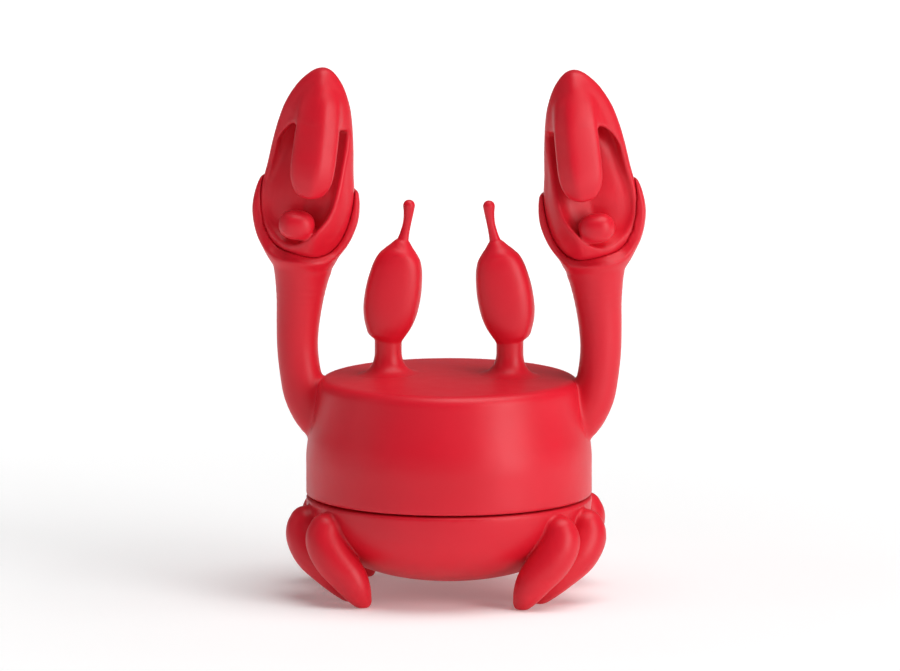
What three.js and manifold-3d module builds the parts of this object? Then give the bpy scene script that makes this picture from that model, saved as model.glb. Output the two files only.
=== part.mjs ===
// A crab figure that grips with its body: a round two-part jaw on six legs, with two raised
// claws and two eyestalks. Millimetres, +Z up, the crab faces -Y. Every piece is drawn about the
// body's vertical axis; the finished group is moved so that the origin is on the ground under the
// middle of the whole footprint. "right" is the +X side and "left" is the -X side.
import * as THREE from 'three';
import { mergeVertices } from 'three/addons/utils/BufferGeometryUtils.js';
import Module from 'manifold-3d';

const wasm = await Module();
wasm.setup();

// ---------------------------------------------------------------- driving dimensions

const GAP = 0.3; // between pieces that are glued, plugged or resting on each other
const RUNNING_GAP = 0.1; // around the hinge pin and the screws
const SHELL_SEGMENTS = 40; // facets round the big shells, their neighbours' clearances included
const HOLLOW_SEGMENTS = 24;

const DRUM_RADIUS = 28.6;
const SEAM_Z = 20.1; // middle of the parting line between the two jaws
const SEAM_HALF_GAP = 0.25;
const DRUM_WALL = 3.2;
const DRUM_TOP_Z = 44.6; // crown of the domed top
const DRUM_EDGE_Z = 43.65; // where the dome meets the rounded edge
const DRUM_EDGE_RADIUS = 24.6;

const BOWL_BOTTOM_Z = 3.3;
const BOWL_WALL = 3.0;
const BOWL_ROUNDNESS = 2.3; // exponent of the bowl's superellipse

const DECK_RADIUS = 24.0;
const DECK_THICKNESS = 2.2;
const PAD_RADIUS = 23.2;
const PAD_THICKNESS = 2.0;
const RIB_PITCH = 3.0;
const RIB_GROOVE = 1.2;
const RIB_DEPTH = 0.9;
const LOWER_PAD_TOP_Z = 19.9;
const UPPER_PAD_BOTTOM_Z = 20.3;

const SCREW_CIRCLE = 15;
const SCREW_COUNT = 3;
const SCREW_RADIUS = 1.1;
const SCREW_LENGTH = 8.2;
const SCREW_HEAD_RADIUS = 2.1;
const SCREW_HEAD_HEIGHT = 1.3;
const BOSS_RADIUS = 2.8;

const HINGE_Y = 30.2;
const HINGE_Z = SEAM_Z;
const KNUCKLE_RADIUS = 2.8;
const PIN_RADIUS = 1.2;
const PIN_HEAD_RADIUS = 2.0;
const REAR_OVERHANG = HINGE_Y + KNUCKLE_RADIUS - DRUM_RADIUS; // how far the hinge stands out
const UPPER_KNUCKLE = [3.9, 7.6]; // span along x, mirrored on the other side
const LOWER_KNUCKLE = [7.9, 13.0];

const SPRING_WIRE_RADIUS = 0.55;
const SPRING_COIL_RADIUS = 2.2;
const SPRING_TURNS = 4.5;
const SPRING_HALF_LENGTH = 2.9;
const SPRING_LEG_END_Y = 19.5;

// Degrees from the front at the lobe, degrees swept from there to the foot, and how far the foot is tucked.
const LEGS = {
  front: { azimuth: 53, sweep: -13, tuck: 0 },
  mid: { azimuth: 73, sweep: -15, tuck: 2.6 },
  rear: { azimuth: 115, sweep: 19, tuck: 0 },
};
const LEG_LOBE_RADIUS = 29.4; // from the body axis to the middle of the lobe
const LEG_SPIGOT_Z = 12.4;

const ARM_SHOULDER = { x: 27.3, z: 36.6, radius: 4.5 };
const ARM_PLUG_Z = 35.4;
const PLUG_RADIUS = 2.4;
const PLUG_BARB = 0.8; // how much wider the plug's retaining rim is

const WRIST = new THREE.Vector3(28.65, 0, 77.5); // middle of the wrist ring
const WRIST_RING_RADIUS = 10.8;
const CLAW_LEAN = 6.6; // degrees, inwards
const OPENING_TURN = 24; // degrees, the palm's open side turned outwards
const FINGER_AXIS = { x: -0.9, y: -5.2, z: 19.5 }; // the finger's flexing line, in the claw's own frame
const FINGER_MAX_ANGLE = 18;
const FINGER_HALF_DEPTH = 2.5;

const STALK_X = 12.2;
const STALK_Y = 0;
const STALK_NECK_RADIUS = 2.8;
const EYE_CENTRE = new THREE.Vector3(11.3, STALK_Y, 60);
const EYE_DEPTH = 0.92; // of its width
const EYE_FACE_Y = 4.3; // how far in front of the eye's middle its face is
const EYE_LID_Z = 7.7; // the lid's line above the eye's middle
const EYE_LEAN = 10; // degrees, inwards
const EYE_SEAT_RADIUS = 3.4;
const EYE_SEAT_Z = 52.3;
const EYE_PEG_RADIUS = 1.6;
const EYE_PEG_TOP_Z = 56.5;
const HORN_RADIUS = 0.85;
const HORN_BULB_RADIUS = 1.2;

// ---------------------------------------------------------------- materials

const satinRed = () => new THREE.MeshStandardMaterial({ color: '#d2202f', roughness: 0.5, metalness: 0 });
const padRed = () => new THREE.MeshStandardMaterial({ color: '#8d141f', roughness: 0.8, metalness: 0 });
const deckRed = () => new THREE.MeshStandardMaterial({ color: '#a81a26', roughness: 0.6, metalness: 0 });
const steel = () => new THREE.MeshStandardMaterial({ color: '#b9bcc0', roughness: 0.3, metalness: 1 });

// ---------------------------------------------------------------- geometry helpers

const radians = THREE.MathUtils.degToRad;
const point = (x, y, z) => new THREE.Vector3(x, y, z);

function closedIndex(geometry) {
  const index = geometry.index.array;
  const kept = [];
  for (let i = 0; i < index.length; i += 3) {
    const [a, b, c] = [index[i], index[i + 1], index[i + 2]];
    if (a !== b && b !== c && c !== a) kept.push(a, b, c);
  }
  return kept;
}

function signedVolume(position, triangles) {
  const a = new THREE.Vector3();
  const b = new THREE.Vector3();
  const c = new THREE.Vector3();
  let volume = 0;
  for (let i = 0; i < triangles.length; i += 3) {
    a.fromBufferAttribute(position, triangles[i]);
    b.fromBufferAttribute(position, triangles[i + 1]);
    c.fromBufferAttribute(position, triangles[i + 2]);
    volume += a.dot(b.cross(c)) / 6;
  }
  return volume;
}

// A closed three.js geometry as a solid, its faces turned outwards.
function solid(geometry) {
  const bare = geometry.clone();
  bare.deleteAttribute('normal');
  bare.deleteAttribute('uv');
  const merged = mergeVertices(bare, 1e-4);
  const triangles = closedIndex(merged);
  if (signedVolume(merged.attributes.position, triangles) < 0) triangles.reverse();
  const vertProperties = new Float32Array(merged.attributes.position.array);
  const triVerts = new Uint32Array(triangles);
  return new wasm.Manifold(new wasm.Mesh({ numProp: 3, vertProperties, triVerts }));
}

function geometryOf(body) {
  const mesh = body.getMesh();
  const geometry = new THREE.BufferGeometry();
  geometry.setAttribute('position', new THREE.BufferAttribute(new Float32Array(mesh.vertProperties), 3));
  geometry.setIndex(new THREE.BufferAttribute(new Uint32Array(mesh.triVerts), 1));
  geometry.computeVertexNormals();
  return geometry;
}

function moved(body, matrix) {
  return solid(geometryOf(body).applyMatrix4(matrix));
}

// The same body on the other side of the crab: solid() turns the mirrored faces outwards again.
const mirrored = (body) => moved(body, new THREE.Matrix4().makeScale(-1, 1, 1));

function unite(bodies) {
  return bodies.reduce((sum, body) => sum.add(body));
}

function cutAll(body, tools) {
  return tools.reduce((rest, tool) => rest.subtract(tool), body);
}

function box(low, high) {
  const size = new THREE.Vector3().subVectors(high, low);
  const middle = new THREE.Vector3().addVectors(low, high).multiplyScalar(0.5);
  return solid(new THREE.BoxGeometry(size.x, size.y, size.z).translate(middle.x, middle.y, middle.z));
}

// profile: [radius, height] pairs, turned about the z axis
function turned(profile, segments) {
  const points = profile.map(([radius, height]) => new THREE.Vector2(radius, height));
  return new THREE.LatheGeometry(points, segments).rotateX(Math.PI / 2);
}

function upright(radius, bottom, top, x = 0, y = 0, segments = 12) {
  const cylinder = new THREE.CylinderGeometry(radius, radius, top - bottom, segments);
  return solid(cylinder.rotateX(Math.PI / 2).translate(x, y, (bottom + top) / 2));
}

function crosswise(radius, left, right, y, z, segments = 16) {
  const cylinder = new THREE.CylinderGeometry(radius, radius, right - left, segments);
  return solid(cylinder.rotateZ(Math.PI / 2).translate((left + right) / 2, y, z));
}

// A rod through rings given as { centre, side, front }: side and front are the ring's half axes.
function rod(rings, segments) {
  const geometry = new THREE.CylinderGeometry(1, 1, 1, segments, rings.length - 1);
  const position = geometry.attributes.position;
  const spot = new THREE.Vector3();
  for (let i = 0; i < position.count; i += 1) {
    spot.fromBufferAttribute(position, i);
    const ring = rings[Math.round((0.5 - spot.y) * (rings.length - 1))];
    const onRing = ring.centre.clone().addScaledVector(ring.side, spot.x).addScaledVector(ring.front, spot.z);
    position.setXYZ(i, onRing.x, onRing.y, onRing.z);
  }
  return solid(geometry);
}

// Rings along a curve with rounded ends; widthAt and depthAt are half sizes, across is the side axis.
function ringsAlong(curve, { widthAt, depthAt, across, count, capRings = 2 }) {
  const ringAt = (at, along, shrink) => {
    const tangent = curve.getTangentAt(at);
    const side = across.clone().addScaledVector(tangent, -across.dot(tangent)).normalize();
    const front = new THREE.Vector3().crossVectors(tangent, side);
    const centre = curve.getPointAt(at).addScaledVector(tangent, along);
    return {
      centre,
      side: side.multiplyScalar(widthAt(at) * shrink),
      front: front.multiplyScalar(depthAt(at) * shrink),
    };
  };
  const capAngles = Array.from({ length: capRings }, (_, i) => radians(78 * (1 - i / capRings)));
  const capDepth = (at) => Math.min(widthAt(at), depthAt(at));
  const startCap = capAngles.map((angle) => ringAt(0, -capDepth(0) * Math.sin(angle), Math.cos(angle)));
  const endCap = capAngles.map((angle) => ringAt(1, capDepth(1) * Math.sin(angle), Math.cos(angle)));
  const middle = Array.from({ length: count }, (_, i) => ringAt(i / (count - 1), 0, 1));
  return [...startCap, ...middle, ...endCap.reverse()];
}

// Level rings from rows of [z, half width, front y, back y], grown outwards by grow.
function levelRings(rows, grow = 0) {
  return rows.map(([z, halfWidth, front, back]) => ({
    centre: point(0, (front + back) / 2, z),
    side: point(halfWidth + grow, 0, 0),
    front: point(0, (back - front) / 2 + grow, 0),
  }));
}

function interpolated(rows, key) {
  if (key <= rows[0][0]) return rows[0][1];
  for (let i = 1; i < rows.length; i += 1) {
    const [a, b] = [rows[i - 1], rows[i]];
    if (key <= b[0]) return a[1] + ((b[1] - a[1]) * (key - a[0])) / (b[0] - a[0]);
  }
  return rows[rows.length - 1][1];
}

// ---------------------------------------------------------------- body shells

// Height of the domed top's outer face at a distance from the axis.
const domeZ = (radius) => DRUM_TOP_Z - (DRUM_TOP_Z - DRUM_EDGE_Z) * (radius / DRUM_EDGE_RADIUS) ** 2;

// The drum's outer outline from its lower rim to its crown, grown outwards by grow.
function drumOutline(grow = 0) {
  const bottom = SEAM_Z + SEAM_HALF_GAP - grow;
  const foot = [[28.3, bottom], [DRUM_RADIUS, bottom + 0.3]];
  const wall = [[DRUM_RADIUS, 29], [28.3, 31.3], [27.5, 34.7], [26.8, 38.2]];
  const edge = [[26.3, 41.8], [25.9, 42.9], [DRUM_EDGE_RADIUS, DRUM_EDGE_Z]];
  const dome = [18, 9, 0].map((radius) => [radius, domeZ(radius)]);
  const side = [...foot, ...wall, ...edge].map(([radius, z]) => [radius + grow, z]);
  return [[0, bottom], ...side, ...dome].map(([radius, z]) => [radius, z > 41 ? z + grow : z]);
}

function carapaceHollow() {
  const inner = DRUM_RADIUS - DRUM_WALL;
  const ceiling = DRUM_EDGE_Z - DRUM_WALL;
  const wall = [[0, SEAM_Z - 1], [inner, SEAM_Z - 1], [inner, 30], [23.6, 38]];
  return solid(turned([...wall, [21.5, ceiling], [0, ceiling + 0.8]], HOLLOW_SEGMENTS));
}

const bowlDepth = SEAM_Z - SEAM_HALF_GAP - BOWL_BOTTOM_Z;

// Radius of the bowl's outer face at a depth fraction from 0 at the rim to 1 at the bottom.
const bowlRadius = (fraction) => DRUM_RADIUS * (1 - fraction ** BOWL_ROUNDNESS) ** (1 / BOWL_ROUNDNESS);

// The bowl's outline from its bottom to its rim, shrunk inwards by shrink.
function bowlOutline(shrink = 0) {
  const rim = SEAM_Z - SEAM_HALF_GAP;
  const fractions = shrink > 0 ? [1, 0.94, 0.8, 0.6, 0.35, 0.15] : [1, 0.98, 0.92, 0.8, 0.64, 0.44, 0.2];
  const curved = fractions.map((fraction) => {
    const z = rim - fraction * bowlDepth;
    return [fraction < 1 ? bowlRadius(fraction) - shrink : 0, z + shrink * fraction];
  });
  const lip = shrink === 0 ? [[DRUM_RADIUS, rim - 0.5], [28.3, rim]] : [[DRUM_RADIUS - shrink, rim + 1]];
  return [...curved, ...lip, [0, lip[lip.length - 1][1]]];
}

function screwSpots() {
  return Array.from({ length: SCREW_COUNT }, (_, i) => {
    const angle = radians(90 + (360 / SCREW_COUNT) * i);
    return [SCREW_CIRCLE * Math.cos(angle), SCREW_CIRCLE * Math.sin(angle)];
  });
}

// ---------------------------------------------------------------- hinge and spring

function knucklePair([near, far], grow = 0) {
  const right = crosswise(KNUCKLE_RADIUS + grow, near - grow, far + grow, HINGE_Y, HINGE_Z);
  const left = crosswise(KNUCKLE_RADIUS + grow, -far - grow, -near + grow, HINGE_Y, HINGE_Z);
  return right.add(left);
}

// The webs that carry one jaw's knuckles on its rear wall; up is 1 for the upper jaw, -1 for the lower.
function knuckleWebs([near, far], up) {
  const seamFace = HINGE_Z + up * GAP;
  const outerFace = HINGE_Z + up * KNUCKLE_RADIUS;
  const [low, high] = [Math.min(seamFace, outerFace), Math.max(seamFace, outerFace)];
  const right = box(point(near, 24, low), point(far, HINGE_Y, high));
  const left = box(point(-far, 24, low), point(-near, HINGE_Y, high));
  return right.add(left);
}

const pinBore = () => crosswise(PIN_RADIUS + RUNNING_GAP, -20, 20, HINGE_Y, HINGE_Z);

function springPocket() {
  const wire = SPRING_WIRE_RADIUS + GAP;
  const [reach] = UPPER_KNUCKLE;
  const coil = crosswise(SPRING_COIL_RADIUS + wire + 0.1, -reach, reach, HINGE_Y, HINGE_Z);
  const legX = SPRING_HALF_LENGTH;
  const upperSlot = box(point(legX - wire, 22, HINGE_Z), point(legX + wire, HINGE_Y, HINGE_Z + 6.9));
  const lowerSlot = box(point(-legX - wire, 22, HINGE_Z - 6.9), point(-legX + wire, HINGE_Y, HINGE_Z));
  return unite([coil, upperSlot, lowerSlot]);
}

function hingePin() {
  const end = LOWER_KNUCKLE[1] + GAP;
  const head = end + 0.9;
  const outline = [[0, -head], [PIN_HEAD_RADIUS, -head], [PIN_HEAD_RADIUS, -end], [PIN_RADIUS, -end]];
  const other = outline.map(([radius, z]) => [radius, -z]).reverse();
  const geometry = turned([...outline, ...other], 16).rotateY(Math.PI / 2);
  return solid(geometry.translate(0, HINGE_Y, HINGE_Z));
}

function springPath(upperLegZ, lowerLegZ) {
  const coilPoint = (turn) => {
    const angle = radians(130) + turn * 2 * Math.PI;
    const x = SPRING_HALF_LENGTH * (1 - (2 * turn) / SPRING_TURNS);
    const y = HINGE_Y + SPRING_COIL_RADIUS * Math.cos(angle);
    return point(x, y, HINGE_Z + SPRING_COIL_RADIUS * Math.sin(angle));
  };
  const coil = Array.from({ length: 12 * SPRING_TURNS + 1 }, (_, i) => coilPoint(i / 12));
  const upperLeg = [
    point(SPRING_HALF_LENGTH, SPRING_LEG_END_Y, upperLegZ),
    point(SPRING_HALF_LENGTH, 24.6, upperLegZ),
  ];
  const lowerLeg = [
    point(-SPRING_HALF_LENGTH, 24.6, lowerLegZ),
    point(-SPRING_HALF_LENGTH, SPRING_LEG_END_Y, lowerLegZ),
  ];
  return new THREE.CatmullRomCurve3([...upperLeg, ...coil, ...lowerLeg], false, 'centripetal');
}

function jawSpring() {
  const legOffset = DECK_THICKNESS + GAP + SPRING_WIRE_RADIUS;
  const upperLegZ = UPPER_PAD_BOTTOM_Z + PAD_THICKNESS + GAP + legOffset;
  const lowerLegZ = LOWER_PAD_TOP_Z - PAD_THICKNESS - GAP - legOffset;
  const outline = new THREE.Shape();
  outline.absarc(0, 0, SPRING_WIRE_RADIUS, 0, Math.PI * 2);
  const extrudePath = springPath(upperLegZ, lowerLegZ);
  return solid(new THREE.ExtrudeGeometry(outline, { steps: 80, curveSegments: 3, extrudePath }));
}

// ---------------------------------------------------------------- decks, pads, screws

// A flat plate that closes a jaw; up is 1 where the screw heads face up.
function deck(bottom, up) {
  const plate = upright(DECK_RADIUS, bottom, bottom + DECK_THICKNESS, 0, 0, SHELL_SEGMENTS);
  const holes = screwSpots().map(([x, y]) => {
    const through = upright(SCREW_RADIUS + GAP, bottom - 1, bottom + DECK_THICKNESS + 1, x, y);
    const headLow = up > 0 ? bottom + DECK_THICKNESS - SCREW_HEAD_HEIGHT - GAP : bottom - 1;
    const headHigh = up > 0 ? bottom + DECK_THICKNESS + 1 : bottom + SCREW_HEAD_HEIGHT + GAP;
    return through.add(upright(SCREW_HEAD_RADIUS + GAP, headLow, headHigh, x, y));
  });
  return cutAll(plate, holes);
}

// A soft disc with cross ribs on the face that grips; up is 1 where the ribs face up.
function gripPad(bottom, up) {
  const top = bottom + PAD_THICKNESS;
  const disc = upright(PAD_RADIUS, bottom, top, 0, 0, SHELL_SEGMENTS);
  const grooveLow = up > 0 ? top - RIB_DEPTH : bottom - 1;
  const grooveHigh = up > 0 ? top + 1 : bottom + RIB_DEPTH;
  const grooves = [];
  for (let y = -PAD_RADIUS + RIB_PITCH; y < PAD_RADIUS - RIB_PITCH / 2; y += RIB_PITCH) {
    const low = point(-PAD_RADIUS - 1, y - RIB_GROOVE / 2, grooveLow);
    grooves.push(box(low, point(PAD_RADIUS + 1, y + RIB_GROOVE / 2, grooveHigh)));
  }
  return cutAll(disc, grooves);
}

// A socket-head screw whose head's bearing face is at height z; up is 1 where the head is on top.
function deckScrew([x, y], z, up) {
  const outline = [
    [0, SCREW_HEAD_HEIGHT],
    [SCREW_HEAD_RADIUS - 0.3, SCREW_HEAD_HEIGHT],
    [SCREW_HEAD_RADIUS, SCREW_HEAD_HEIGHT - 0.3],
    [SCREW_HEAD_RADIUS, 0],
    [SCREW_RADIUS, 0],
    [SCREW_RADIUS, -SCREW_LENGTH + 0.8],
    [0, -SCREW_LENGTH],
  ];
  const socket = new THREE.CylinderGeometry(1.1, 1.1, 1.6, 6).rotateX(Math.PI / 2);
  const body = solid(turned(outline, 12)).subtract(solid(socket.translate(0, 0, SCREW_HEAD_HEIGHT)));
  const flip = new THREE.Matrix4().makeRotationX(up > 0 ? 0 : Math.PI);
  return moved(body, new THREE.Matrix4().makeTranslation(x, y, z).multiply(flip));
}

// ---------------------------------------------------------------- plugs

// A push-in plug along +x that starts outside the wall and ends in a retaining rim behind it.
function plug(outerX, wallInnerX, radius) {
  const rim = radius + PLUG_BARB;
  const outline = [
    [0, outerX],
    [radius, outerX],
    [radius, wallInnerX - GAP],
    [rim, wallInnerX - GAP],
    [rim, wallInnerX - GAP - 0.7],
    [radius - 0.6, wallInnerX - GAP - 2.2],
    [0, wallInnerX - GAP - 2.2],
  ];
  return turned(outline, 10).rotateY(Math.PI / 2);
}

// ---------------------------------------------------------------- legs

// The crescent from the top of its lobe to its foot:
// [share of the sweep, distance from the body axis, z, half width].
const LEG_ROWS = [
  [0, LEG_LOBE_RADIUS, 15.4, 3.3],
  [0, 29.5, 13.8, 3.85],
  [0.1, 29.3, 12, 4.05],
  [0.33, 28.5, 9.4, 4.0],
  [0.68, 27.0, 6.4, 3.65],
  [0.9, 26.1, 3.9, 2.95],
  [1, 24.9, 1.4, 2.0],
];

function legCurve({ azimuth, sweep, tuck }) {
  const points = LEG_ROWS.map(([share, reach, z]) => {
    const angle = radians(azimuth + sweep * share);
    const radius = reach - tuck * share ** 2;
    return point(radius * Math.sin(angle), -radius * Math.cos(angle), z);
  });
  return new THREE.CatmullRomCurve3(points);
}

function legRod(row) {
  const curve = legCurve(row);
  const widthRows = LEG_ROWS.map(([, , z, halfWidth]) => [z, halfWidth]).reverse();
  const widthAt = (at) => interpolated(widthRows, curve.getPointAt(at).z);
  const angle = radians(row.azimuth);
  const across = point(Math.cos(angle), Math.sin(angle), 0);
  return rod(ringsAlong(curve, { widthAt, depthAt: widthAt, across, count: 8 }), 12);
}

// The spigot that is glued into the bowl's wall; grown, it is the bore in the wall.
function legSpigot(azimuth, grow = 0) {
  const wallOuter = bowlRadius((SEAM_Z - SEAM_HALF_GAP - LEG_SPIGOT_Z) / bowlDepth);
  const inner = wallOuter - BOWL_WALL - (grow > 0 ? 6 : 0);
  const spigot = crosswise(PLUG_RADIUS + grow, inner, LEG_LOBE_RADIUS, 0, LEG_SPIGOT_Z, 10);
  return moved(spigot, new THREE.Matrix4().makeRotationZ(radians(azimuth - 90)));
}

function leg(row) {
  const ground = box(point(-60, -60, -10), point(60, 60, 0));
  const bowl = solid(turned(bowlOutline(-GAP), SHELL_SEGMENTS));
  const outside = legRod(row).subtract(bowl).subtract(drumClearance());
  return outside.add(legSpigot(row.azimuth)).subtract(ground);
}

const drumClearance = () => solid(turned(drumOutline(GAP + SEAM_HALF_GAP), SHELL_SEGMENTS));

// ---------------------------------------------------------------- arms

function armCurve() {
  return new THREE.CatmullRomCurve3([
    point(ARM_SHOULDER.x, 0, ARM_SHOULDER.z),
    point(29.0, 0, 40.5),
    point(29.9, 0, 44.7),
    point(30.4, 0, 49.6),
    point(30.3, 0, 54.4),
    point(29.9, 0, 59.3),
    point(29.5, 0, 64),
    point(29.2, 0, 68),
  ]);
}

function armTube() {
  const curve = armCurve();
  const lower = [[36.6, ARM_SHOULDER.radius], [44.7, 4.1], [49.6, 4.1]];
  const radiusRows = [...lower, [54.4, 4.3], [59.3, 4.7], [64, 5.4], [68, 6.6]];
  const radiusAt = (at) => interpolated(radiusRows, curve.getPointAt(at).z);
  const across = point(0, 1, 0);
  return rod(ringsAlong(curve, { widthAt: radiusAt, depthAt: radiusAt, across, count: 9 }), 14);
}

// A block across the whole claw whose outline seen from the side is given as [y, z] points.
function sideProfile(outline) {
  const shape = new THREE.Shape(outline.map(([y, z]) => new THREE.Vector2(y, z)));
  const slab = new THREE.ExtrudeGeometry(shape, { depth: 40, bevelEnabled: false }).translate(0, 0, -20);
  return solid(slab.rotateY(Math.PI / 2).rotateX(Math.PI / 2));
}

// A block from front to back whose outline seen from the front is given as [x, z] points.
function frontProfile(outline) {
  const shape = new THREE.Shape(outline.map(([x, z]) => new THREE.Vector2(x, z)));
  const slab = new THREE.ExtrudeGeometry(shape, { depth: 40, bevelEnabled: false }).translate(0, 0, -20);
  return solid(slab.rotateX(Math.PI / 2));
}

// Places something built in the claw's own frame: origin in the wrist ring, +z along the claw, -y its front.
function clawMatrix() {
  const lean = new THREE.Matrix4().makeRotationY(radians(-CLAW_LEAN));
  const place = new THREE.Matrix4().makeTranslation(WRIST.x, WRIST.y, WRIST.z);
  return place.multiply(lean);
}

// The flared cup at the arm's end, in the claw's own frame; its front is scooped away, so its rim is a collar
// that is high behind and at the sides and runs down to the cup's floor in front.
function wristCup() {
  const flare = [
    [-11.5, 5.4],
    [-8.5, 7.9],
    [-6.1, 9.3],
    [-3.6, 10.2],
    [-1, WRIST_RING_RADIUS],
    [1.5, 10.65],
    [4, 10.2],
    [7, 9.0],
  ];
  const cup = rod(levelRings(flare.map(([z, radius]) => [z, radius, -radius, radius])), 24);
  const collar = [[-7.5, -10], [-4.8, -8.9], [-3.2, -6.5], [-2.2, -2.5], [-1.2, 5], [20, 5]];
  return cup.subtract(sideProfile([[-20, -10], ...collar, [20, 20], [-20, 20]]));
}

function arm() {
  const claw = clawMatrix();
  const palm = moved(palmOutside(GAP), claw);
  const peg = moved(palmPeg(GAP), claw);
  const cup = moved(wristCup(), claw);
  const limb = armTube().add(cup).subtract(palm).subtract(peg).subtract(drumClearance());
  return limb.add(armPlug());
}

function armPlug(grow = 0) {
  const wallInner = 22.4;
  if (grow > 0) return crosswise(PLUG_RADIUS + grow, wallInner - 6, ARM_SHOULDER.x + 2, 0, ARM_PLUG_Z, 10);
  return solid(plug(ARM_SHOULDER.x + 1.5, wallInner, PLUG_RADIUS).translate(0, 0, ARM_PLUG_Z));
}

// ---------------------------------------------------------------- claws, in their own frame

// [height, half width, front y, back y] of the hood and the cup below it
const PALM_ROWS = [
  [-9.9, 2.2, -2.2, 2.2],
  [-9.2, 4.9, -5.0, 4.8],
  [-6.8, 7.4, -7.7, 7.4],
  [-3.8, 8.7, -9.1, 8.6],
  [0, 9.3, -9.8, 9.2],
  [2.5, 9.4, -9.8, 9.2],
  [8.5, 8.6, -9.4, 8.4],
  [13.4, 8.1, -9.0, 7.4],
  [18.2, 7.3, -8.4, 5.8],
  [20.7, 6.7, -8.0, 4.6],
  [23.1, 5.9, -7.3, 3.3],
  [25.5, 4.6, -6.2, 1.8],
  [27.6, 2.9, -4.8, 0.1],
  [28.9, 1.0, -3.2, -1.2],
];

const palmOutside = (grow) => rod(levelRings(PALM_ROWS, grow), 20);

function palmPeg(grow = 0) {
  return upright(PLUG_RADIUS + grow, -15 - grow, -7, 0, 0, 12);
}

// The open dish in the palm: [height, half width, place of its middle, floor] in a frame turned outwards, the
// floor being its distance in front of the claw's axis.
const DISH_ROWS = [
  [-5.8, 1.0, -0.8, 5.2],
  [-4.6, 4.2, -0.6, 3.6],
  [-2.2, 6.7, -0.4, 2.7],
  [2.6, 7.9, -0.4, 2.1],
  [8, 7.7, -1.2, 1.2],
  [12, 7.2, -1.6, 0.3],
  [18.5, 6.8, -1.9, -0.6],
];
const DISH_RIM = 8; // how far in front of the claw's axis the dish is widest

// The hood's lower edge over the dish, as [x, z] points: it comes down on the claw's outer side.
const HOOD_EDGE = [[-20, 16.6], [-6, 17.0], [3, 17.6], [4.4, 17.2], [6, 15.4], [8, 11.5], [12, 4], [20, 4]];

function palmDish() {
  const rings = DISH_ROWS.map(([z, halfWidth, middle, floor]) => ({
    centre: point(middle, -DISH_RIM, z),
    side: point(halfWidth, 0, 0),
    front: point(0, DISH_RIM - floor, 0),
  }));
  const dish = moved(rod(rings, 22), new THREE.Matrix4().makeRotationZ(radians(OPENING_TURN)));
  return dish.subtract(frontProfile([...HOOD_EDGE, [20, 40], [-20, 40]]));
}

function clawFinger(grow = 0) {
  const middleLine = [[FINGER_AXIS.y, FINGER_AXIS.z], [-6.4, 16], [-7.3, 12.5], [-7.8, 9], [-7.9, 5.9]];
  const curve = new THREE.CatmullRomCurve3(middleLine.map(([y, z]) => point(FINGER_AXIS.x, y, z)));
  const widthRows = [[0, 3.6], [0.25, 4.3], [0.6, 4.45], [0.9, 4.3], [1, 3.9]];
  const widthAt = (at) => interpolated(widthRows, at) + grow;
  const depthAt = () => FINGER_HALF_DEPTH + grow;
  return rod(ringsAlong(curve, { widthAt, depthAt, across: point(1, 0, 0), count: 6 }), 12);
}

// Everything the finger passes through as it flexes forwards.
function fingerSweep() {
  const angles = [0, FINGER_MAX_ANGLE / 2, FINGER_MAX_ANGLE];
  const toAxis = new THREE.Matrix4().makeTranslation(0, -FINGER_AXIS.y, -FINGER_AXIS.z);
  const fromAxis = new THREE.Matrix4().makeTranslation(0, FINGER_AXIS.y, FINGER_AXIS.z);
  const poses = angles.map((angle) => {
    const swing = new THREE.Matrix4().makeRotationX(radians(-angle));
    return moved(clawFinger(GAP), fromAxis.clone().multiply(swing).multiply(toAxis));
  });
  const { x, y, z } = FINGER_AXIS;
  const root = crosswise(FINGER_HALF_DEPTH + 2 * GAP, x - 4.3, x + 4.3, y, z);
  return unite([root, ...poses]);
}

const THUMB_CENTRE = point(1.05, -6.0, -2.5);
const THUMB_HALF_SIZES = point(3.6, 3.9, 2.95);
const THUMB_PEG_RADIUS = 1.5;
const THUMB_PEG_LENGTH = 8; // from the middle of the knob back into the palm

function clawThumb(grow = 0) {
  const { x, y, z } = THUMB_HALF_SIZES;
  const knob = new THREE.SphereGeometry(1, 14, 10).scale(x + grow, y + grow, z + grow);
  const ball = solid(knob.translate(THUMB_CENTRE.x, THUMB_CENTRE.y, THUMB_CENTRE.z));
  const radius = THUMB_PEG_RADIUS + grow;
  const length = THUMB_PEG_LENGTH + grow;
  const peg = new THREE.CylinderGeometry(radius, radius, length, 10);
  return ball.add(solid(peg.translate(THUMB_CENTRE.x, THUMB_CENTRE.y + length / 2, THUMB_CENTRE.z)));
}

function clawPalm() {
  const hood = palmOutside(0).subtract(palmDish());
  return hood.add(palmPeg()).subtract(fingerSweep()).subtract(clawThumb(GAP));
}

// ---------------------------------------------------------------- eyes

// The plug in the carapace's roof, and the peg that carries the eye.
function stalkCore() {
  const ceiling = DRUM_EDGE_Z - DRUM_WALL;
  const outline = [
    [0, ceiling - 2.2],
    [PLUG_RADIUS - 0.6, ceiling - 2.2],
    [PLUG_RADIUS + PLUG_BARB, ceiling - 0.9],
    [PLUG_RADIUS + PLUG_BARB, ceiling - GAP],
    [PLUG_RADIUS, ceiling - GAP],
    [PLUG_RADIUS, 47],
    [EYE_PEG_RADIUS, 47.5],
    [EYE_PEG_RADIUS, EYE_PEG_TOP_Z],
    [0, EYE_PEG_TOP_Z],
  ];
  return solid(turned(outline, 16).translate(STALK_X, STALK_Y, 0));
}

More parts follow.
